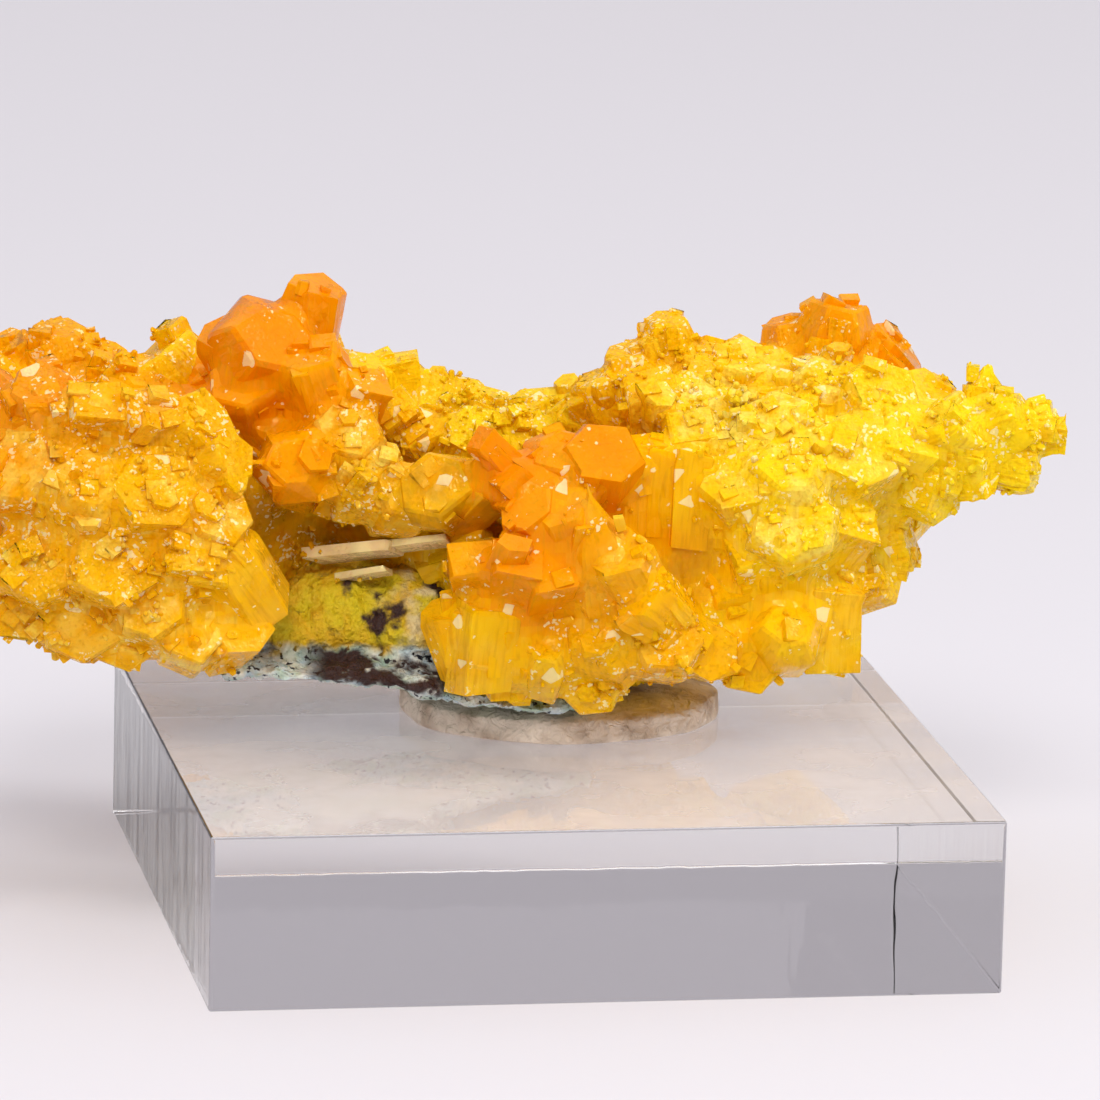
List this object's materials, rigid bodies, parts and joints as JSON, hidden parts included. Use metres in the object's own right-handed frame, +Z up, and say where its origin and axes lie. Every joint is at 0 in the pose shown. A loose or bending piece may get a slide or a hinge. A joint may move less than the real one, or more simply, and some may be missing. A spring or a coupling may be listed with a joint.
{
  "type": "mimetite specimen",
  "caption": "Yellow and orange mimetite crystals grown on a thin plate of matrix rock, stuck with mineral putty to a clear square acrylic block.",
  "frame": {"origin": "middle of the acrylic block's underside", "axes": "+Z up, -Y towards the front that shows the hollow over the matrix rock, +X to the specimen's narrow end"},
  "size_m": [0.0682, 0.045, 0.0368],
  "materials": {
    "clear_acrylic": "clear cast acrylic with polished faces, a saw-cut side and fine scratches",
    "mineral_putty": "soft greyish tan putty, matte, pressed flat with a wrinkled rim",
    "matrix_rock": "white, pale blue and green crust over a dark brown iron oxide layer, dull and rough",
    "mimetite": "translucent lemon, golden yellow and deep orange crystals with a resinous gloss and milky veils"
  },
  "bodies": {
    "root": {"acrylic_base": "clear_acrylic", "mineral_putty": "mineral_putty", "matrix_rock": "matrix_rock", "mimetite_crystals": "mimetite"}
  },
  "joints": []
}
